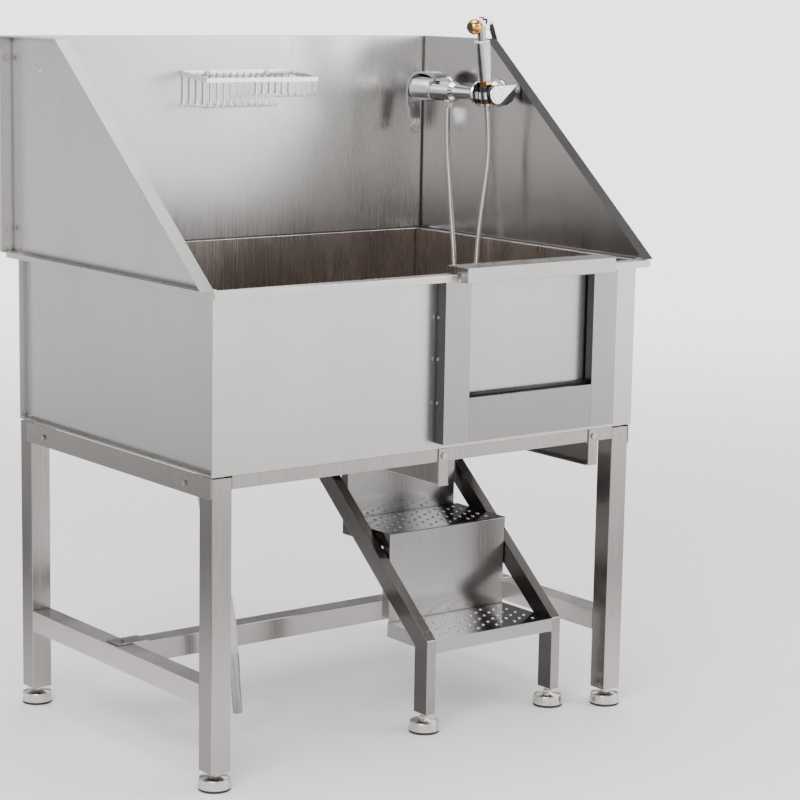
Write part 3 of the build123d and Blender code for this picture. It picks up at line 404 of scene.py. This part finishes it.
def make_materials():
    """A material for every slot of the record, and the finishes, painted shade and painted
    light that some nodes need.
    """
    steel("sheet_steel", SHEET_TONES, 1.0, 0.27)
    # Painted shade: the tub's inside takes a darker, warmer colour
    steel("tub_steel", SHEET_TONES, 1.0, 0.27, box=TUB_INSIDE, painted_shade=(0.84, 0.76, 0.72))
    # Painted shade: the guides a dimmed copy of the sheet steel, their left-facing sides
    # darker still
    steel("guide_steel", SHEET_TONES, 0.62, 0.27, direction=LEFT,
          painted_shade=(0.36, 0.36, 0.37))
    # Painted shade: the sill and the door are dimmed copies of the sheet steel
    steel("sill_steel", SHEET_TONES, 0.55, 0.27)
    steel("door_steel", SHEET_TONES, 0.84, 0.27)
    # Painted shade: the cap a dimmed copy of the sheet steel, its top darker still
    steel("cap_steel", SHEET_TONES, 0.82, 0.27, direction=UP, painted_shade=(0.42, 0.42, 0.42))
    # Painted shade: the splash panels' sloping faces darker, the right panel a little dimmed
    steel("left_splash", SHEET_TONES, 1.0, 0.27, direction=SLOPE,
          painted_shade=(0.50, 0.50, 0.50))
    steel("right_splash", SHEET_TONES, 0.92, 0.19, direction=SLOPE,
          painted_shade=(0.40, 0.40, 0.40))
    steel("tread_steel", TREAD_TONES, 1.0, 0.09, grain=CROSS_GRAIN)
    # Painted shade: the upper tread is a darker copy of the tread steel
    steel("shaded_tread", TREAD_TONES, 0.28, 0.09, grain=CROSS_GRAIN)
    # Painted shade: the risers are a dimmed copy of the sheet steel
    steel("riser_steel", SHEET_TONES, 0.66, 0.20)
    # Painted shade: the legs' and stair sides' left-facing faces darker, the aprons and mid
    # stretcher dimmed; painted light: the side stretchers brightened
    steel("tube_steel", TUBE_TONES, 1.0, 0.20, direction=LEFT, painted_shade=(0.66, 0.66, 0.66))
    steel("bar_steel", TUBE_TONES, 0.85, 0.20)
    steel("end_bar_steel", TUBE_TONES, 1.35, 0.20)
    steel("stair_steel", TUBE_TONES, 0.70, 0.20, direction=LEFT,
          painted_shade=(0.42, 0.42, 0.42))
    # Painted shade: the knob's rear part is painted near black
    steel("knob_chrome", KNOB_TONES, 1.0, 0.16, grain=KNOB_GRAIN, box=KNOB_SHADED_REAR,
          painted_shade=(0.10, 0.10, 0.11))
    # Painted shade: the short reach darkens the grooves between the hose's ribs
    steel("metal_hose", HOSE_TONES, 1.0, 0.13, grain=HOSE_GRAIN, reach=0.0035)
    polished("grip_steel", (0.62, 0.61, 0.60), (0.74, 0.73, 0.72), 0.16)
    polished("fasteners", (0.42, 0.42, 0.42), (0.52, 0.52, 0.51), 0.22)
    polished("chrome", (0.66, 0.66, 0.68), (0.74, 0.74, 0.76), 0.05)
    # A darker copy of the chrome; on the drain tail it stands in as painted shade
    polished("dark_chrome", (0.30, 0.30, 0.31), (0.38, 0.38, 0.39), 0.08)
    polished("handle_chrome", (0.44, 0.44, 0.46), (0.54, 0.54, 0.56), 0.10)
    polished("lever_chrome", (0.48, 0.48, 0.49), (0.58, 0.58, 0.59), 0.12)
    polished("satin_chrome", (0.76, 0.76, 0.77), (0.86, 0.86, 0.87), 0.16)
    polished("bright_wire", (0.88, 0.88, 0.90), (0.95, 0.95, 0.96), 0.07)
    polished("brass", (0.66, 0.36, 0.12), (0.78, 0.47, 0.19), 0.10)
    polished("feet", (0.56, 0.52, 0.48), (0.66, 0.62, 0.58), 0.16)
    two_metals("ball_brass", (0.66, 0.34, 0.10), (0.26, 0.26, 0.27), 0.07, BALL,
               BALL_REACH)
    plain("rubber", (0.008, 0.008, 0.008), (0.02, 0.02, 0.02), 0.60)
    plain("black_plastic", (0.008, 0.008, 0.008), (0.016, 0.016, 0.016), 0.35)
    plain("cream_plastic", (0.72, 0.60, 0.42), (0.80, 0.69, 0.50), 0.30)
    plain("rollers", (0.62, 0.61, 0.58), (0.72, 0.71, 0.68), 0.45)
    plain("ribbed_hose", (0.38, 0.37, 0.36), (0.48, 0.47, 0.46), 0.35)


# ---------------------------------------------------------------- dressing the CAD
FINISH_AND_SHADE = {                      # nodes that differ from their slot's material: some in finish, some in painted shade, one in painted light
    "tread_lower": "tread_steel", "tread_upper": "shaded_tread",
    "riser_lower": "riser_steel", "riser_upper": "riser_steel",
    "tub_wrap": "tub_steel", "tub_side_left": "tub_steel", "tub_side_right": "tub_steel",
    "door_guides": "guide_steel", "door_sill": "sill_steel",
    "door_panel": "door_steel", "door_cap": "cap_steel",
    "splash_left": "left_splash", "splash_right": "right_splash",
    "stair_side_left": "stair_steel", "stair_side_right": "stair_steel",
    "aprons": "bar_steel", "mid_stretcher": "bar_steel",
    "side_stretchers": "end_bar_steel", "drain_tail": "dark_chrome",
    "basket_bands": "bright_wire", "basket_wires": "bright_wire",
    "sprayer_head": "ball_brass", "sprayer_trigger": "dark_chrome",
    "sprayer_handle": "handle_chrome", "holder_knob": "knob_chrome",
    "mixer_lever": "lever_chrome"}
BEVELS = {"sheet_steel": 0.0007, "tube_steel": 0.0012, "fasteners": 0.0004}
CRISP = ("tread", "splash")     # a bevel leaves lines of shading round their holes
EDGE_ANGLE = radians(35)


def soften_edges(obj, width):
    """A small round on every sharp edge, as folding and welding leave it."""
    weld = obj.modifiers.new("weld", "WELD")
    weld.merge_threshold = 0.00001
    bevel = obj.modifiers.new("edges", "BEVEL")
    bevel.width = width
    bevel.segments = 2
    bevel.limit_method = "ANGLE"
    bevel.angle_limit = EDGE_ANGLE
    bevel.harden_normals = False
    normals = obj.modifiers.new("normals", "WEIGHTED_NORMAL")
    normals.weight = 100
    normals.keep_sharp = True


def dress_cad_nodes():
    """Each CAD node takes its material and softly rounded edges."""
    slots = {row["node"]: row["material_slot"] for row in frame["record"]["subparts"]}
    for name, obj in nodes.items():
        material = materials[FINISH_AND_SHADE.get(name, slots[name])]
        if not obj.material_slots:
            obj.data.materials.append(material)
        for entry in obj.material_slots:
            entry.link = "OBJECT"
            entry.material = material
        if slots[name] in BEVELS and not name.startswith(CRISP):
            soften_edges(obj, BEVELS[slots[name]])


# ---------------------------------------------------------------- meshes
def loft(rings, closed=False, flipped=False):
    """Vertices and faces of a skin over equal rings of points.

    Closed, the last ring meets the first; otherwise both ends are capped. Flipped, the
    faces look the other way.
    """
    count = len(rings[0])
    verts = [point for ring in rings for point in ring]
    faces = []
    turn = -1 if flipped else 1
    for row in range(len(rings) if closed else len(rings) - 1):
        low, high = row * count, (row + 1) % len(rings) * count
        for index in range(count):
            nxt = (index + 1) % count
            faces.append((low + index, *(high + index, high + nxt, low + nxt)[::turn]))
    if not closed:
        faces.append(tuple(range(count))[::turn])
        faces.append(tuple(range(len(verts) - count, len(verts)))[::-turn])
    return verts, faces


def join(skins):
    """Several skins as one."""
    verts = []
    faces = []
    for skin_verts, skin_faces in skins:
        base = len(verts)
        verts.extend(skin_verts)
        faces.extend(tuple(index + base for index in face) for face in skin_faces)
    return verts, faces


def new_piece(name, skin, body, material):
    """A smooth mesh that rides on a body."""
    verts, faces = skin
    mesh = bpy.data.meshes.new(name)
    mesh.from_pydata(verts, [], faces)
    mesh.polygons.foreach_set("use_smooth", [True] * len(mesh.polygons))
    mesh.materials.append(material)
    obj = bpy.data.objects.new(name, mesh)
    scene.collection.objects.link(obj)
    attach(obj, body)
    return obj


# ---------------------------------------------------------------- seals and door lip
SEAL_R = 0.0032
SEAL_STEPS = 6
SEAL_TOP_GAP = 0.002            # from an upright bead's end to the back panel's top
SEAL_FRONT_GAP = 0.03           # from a rim bead's end to the side panel's front


def bead(start, end, inwards, outwards):
    """A quarter-round bead in the corner of two sheets."""
    section = [Vector((0, 0, 0))]
    for step in range(SEAL_STEPS + 1):
        angle = pi / 2 * step / SEAL_STEPS
        section.append(Vector(inwards) * SEAL_R * cos(angle)
                       + Vector(outwards) * SEAL_R * sin(angle))
    return loft([[Vector(place) + offset for offset in section] for place in (start, end)])


def make_seals():
    """Dark silicone beads where the splash panels meet each other and the rim."""
    (_, back_y, rim_z), (_, _, back_top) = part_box("splash_back")
    (_, left_front, _), (inner_left, _, _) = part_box("splash_left")
    inner_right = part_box("splash_right")[0][0]
    beads = []
    for x, side in ((inner_left, 1), (inner_right, -1)):
        beads.append(bead((x, back_y, rim_z), (x, back_y, back_top - SEAL_TOP_GAP),
                          (side, 0, 0), (0, -1, 0)))
        beads.append(bead((x, left_front + SEAL_FRONT_GAP, rim_z), (x, back_y, rim_z),
                          (side, 0, 0), (0, 0, 1)))
    beads.append(bead((inner_left, back_y, rim_z), (inner_right, back_y, rim_z),
                      (0, -1, 0), (0, 0, 1)))
    new_piece("panel_seals", join(beads), ROOT, materials["rubber"])


LIP_H = 0.007
LIP_FRONT, LIP_BACK = 0.0085, 0.0004    # how far before the door its two faces stand
LIP_BULGE = 0.0012
LIP_STEPS = 6


def make_door_lip():
    """The rubber lip that wipes the door, on top of the sill between the guides."""
    (sill_left, _, _), (sill_right, _, sill_top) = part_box("door_sill")
    door_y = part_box("door_panel")[0][1]
    profile = []
    for step in range(LIP_STEPS + 1):
        angle = pi * step / LIP_STEPS
        profile.append((door_y - LIP_FRONT - LIP_BULGE * sin(angle),
                        sill_top + LIP_H * (0.5 - 0.5 * cos(angle))))
    profile += [(door_y - LIP_BACK, sill_top + LIP_H), (door_y - LIP_BACK, sill_top)]
    skin = loft([[Vector((x, y, z)) for y, z in profile] for x in (sill_left, sill_right)])
    new_piece("door_lip", skin, ROOT, materials["rubber"])


# ---------------------------------------------------------------- grip rims
HOLE_STEP = 0.031
ROW_STEP = HOLE_STEP * 3 ** 0.5
HOLE_GRIDS = ((6, 5), (5, 4))   # columns and rows of the two staggered grids
RIM_SIDES = 12
RIM_PROFILE = (                 # radius and height
    (0.0046, 0.0), (0.0037, 0.0013), (0.0031, 0.0017), (0.0028, 0.0012), (0.0028, 0.0))


def grip_rim(centre):
    """A punched hole's raised rim: a low ring that leans inwards."""
    rings = []
    for corner in range(RIM_SIDES):
        angle = 2 * pi * corner / RIM_SIDES
        rings.append([Vector(centre)
                      + Vector((radius * cos(angle), radius * sin(angle), height))
                      for radius, height in RIM_PROFILE])
    return loft(rings, closed=True)


def make_grip_rims(node):
    """Raised rims round the holes of a tread, on the same grids as its holes."""
    low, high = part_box(node)
    middle_x = (low[0] + high[0]) / 2
    middle_y = (low[1] + high[1]) / 2
    rims = []
    for columns, rows in HOLE_GRIDS:
        for column in range(columns):
            for row in range(rows):
                x = middle_x + ROW_STEP * (column - (columns - 1) / 2)
                y = middle_y + HOLE_STEP * (row - (rows - 1) / 2)
                rims.append(grip_rim((x, y, high[2])))
    new_piece(node + "_grips", join(rims), "stairs", materials["grip_steel"])


# ---------------------------------------------------------------- lever hood
MIXER_AXIS = Vector((0.505, 0.0, 1.3945))
HOOD_ARC = (radians(78), radians(282))
HOOD_STEPS = 30
HOOD_REAR, HOOD_FRONT = 0.272, 0.361    # along the mixer's axis
HOOD_INSIDE = 0.0245
HOOD_OUTSIDE = 0.0272
HOOD_CROWN = 0.0090             # how much thicker the hood is over the top
HOOD_DOME = (                   # back from the front, and share of the outer radius
    (0.025, 1.0), (0.016, 0.97), (0.009, 0.86), (0.004, 0.66), (0.001, 0.38))
HOOD_EYE = 0.004                # radius left open at the dome's middle


def hood_profile(outer):
    """Depth and radius, from the rear edge over the dome and back inside."""
    dome = [(HOOD_FRONT - back, outer * share) for back, share in HOOD_DOME]
    return [(HOOD_REAR, HOOD_INSIDE + 0.0012), (HOOD_REAR + 0.002, outer - 0.0008),
            (HOOD_REAR + 0.006, outer), *dome, (HOOD_FRONT, HOOD_EYE),
            (HOOD_FRONT - 0.013, HOOD_EYE), (HOOD_FRONT - 0.014, HOOD_INSIDE * 0.7),
            (HOOD_FRONT - 0.019, HOOD_INSIDE), (HOOD_REAR, HOOD_INSIDE)]


def make_lever_hood():
    """The lever's hood: a shell round the free side of the mixer's end."""
    first, last = HOOD_ARC
    rings = []
    for step in range(HOOD_STEPS + 1):
        angle = first + (last - first) * step / HOOD_STEPS
        outer = HOOD_OUTSIDE + HOOD_CROWN * max(0.0, sin(angle)) ** 1.5
        rings.append([MIXER_AXIS + Vector((radius * cos(angle), depth, radius * sin(angle)))
                      for depth, radius in hood_profile(outer)])
    hood = new_piece("lever_hood", loft(rings, flipped=True), "mixer_lever",
                     materials["satin_chrome"])
    soften_edges(hood, 0.0006)


# ---------------------------------------------------------------- hoses
TUBE_SIDES = 20
SHOWER_ROUTE = [                # millimetres, the last two up the leaning handset
    (505, 228, 1356), (505, 228, 1275), (503, 213, 1178), (502, 198, 1078),
    (501, 183, 985), (499, 183, 898), (500, 195, 815), (503, 211, 750),
    (505, 196, 700), (503, 156, 681), (499, 118, 681), (497, 82, 702),
    (496, 72, 750), (495, 80, 820), (496, 90, 905), (498, 96, 995),
    (502, 92, 1080), (510, 87, 1160), (518, 83.5, 1238), (515.71, 82, 1307.84),
    (508.09, 82, 1367.36)]
DRAIN_ROUTE = [
    (-400, -90, 600), (-400, -90, 552), (-385, -90, 488), (-355, -89, 392),
    (-328, -90, 290), (-319, -90, 195)]


def centre_line(points, name):
    """Points along a smooth NURBS line through the route, in metres."""
    data = bpy.data.curves.new(name + "_route", "CURVE")
    data.dimensions = "3D"
    data.resolution_u = 24
    spline = data.splines.new("NURBS")
    spline.points.add(len(points) - 1)
    for spot, place in zip(spline.points, points):
        spot.co = (*place, 1.0)
    spline.order_u = 3
    spline.use_endpoint_u = True
    holder = bpy.data.objects.new(name + "_route", data)
    scene.collection.objects.link(holder)
    mesh = bpy.data.meshes.new_from_object(holder)
    line = [vertex.co.copy() for vertex in mesh.vertices]
    bpy.data.objects.remove(holder)
    bpy.data.meshes.remove(mesh)
    return line


def even_line(line, step):
    """The same line with points an even step apart, and its length."""
    out = [line[0].copy()]
    left = step
    length = 0.0
    for start, end in zip(line, line[1:]):
        run = (end - start).length
        length += run
        done = 0.0
        while run - done >= left:
            done += left
            out.append(start.lerp(end, done / run))
            left = step
        left -= run - done
    out.append(line[-1].copy())
    return out, length


def ribbed_tube(path, step, radius, pitch, groove):
    """A capped tube along a path of even steps, with a groove between its ribs."""
    side = (path[1] - path[0]).normalized().orthogonal().normalized()
    rings = []
    for index, place in enumerate(path):
        ahead = path[min(index + 1, len(path) - 1)] - path[max(index - 1, 0)]
        ahead = ahead.normalized()
        side = (side - ahead * side.dot(ahead)).normalized()
        across = ahead.cross(side)
        sunk = 0.5 - 0.5 * cos(2 * pi * index * step / pitch)
        ring_radius = radius - groove * sunk
        ring = []
        for corner in range(TUBE_SIDES):
            angle = 2 * pi * corner / TUBE_SIDES
            ring.append(place + (side * cos(angle) + across * sin(angle)) * ring_radius)
        rings.append(ring)
    return loft(rings, flipped=True)


def make_hose(name, node, slot, route, diameter, pitch, groove, step):
    """A ribbed hose that replaces a CAD node."""
    points = [tuple(value * MM for value in place) for place in route]
    path, length = even_line(centre_line(points, name), step)
    skin = ribbed_tube(path, step, diameter / 2, pitch, groove)
    obj = new_piece(name, skin, ROOT, materials[slot])
    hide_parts(node)


# ---------------------------------------------------------------- build
make_camera()
make_world()
for lamp in LAMPS:
    softbox(*lamp)
make_floor()
make_materials()
dress_cad_nodes()
make_seals()
make_door_lip()
make_lever_hood()
for tread in ("tread_lower", "tread_upper"):
    make_grip_rims(tread)
make_hose("shower_hose_wound", "shower_hose", "metal_hose", SHOWER_ROUTE,
          diameter=0.014, pitch=0.0044, groove=0.0009, step=0.0011)
make_hose("drain_hose_ribbed", "drain_hose", "ribbed_hose", DRAIN_ROUTE,
          diameter=0.026, pitch=0.0065, groove=0.0022, step=0.0016)
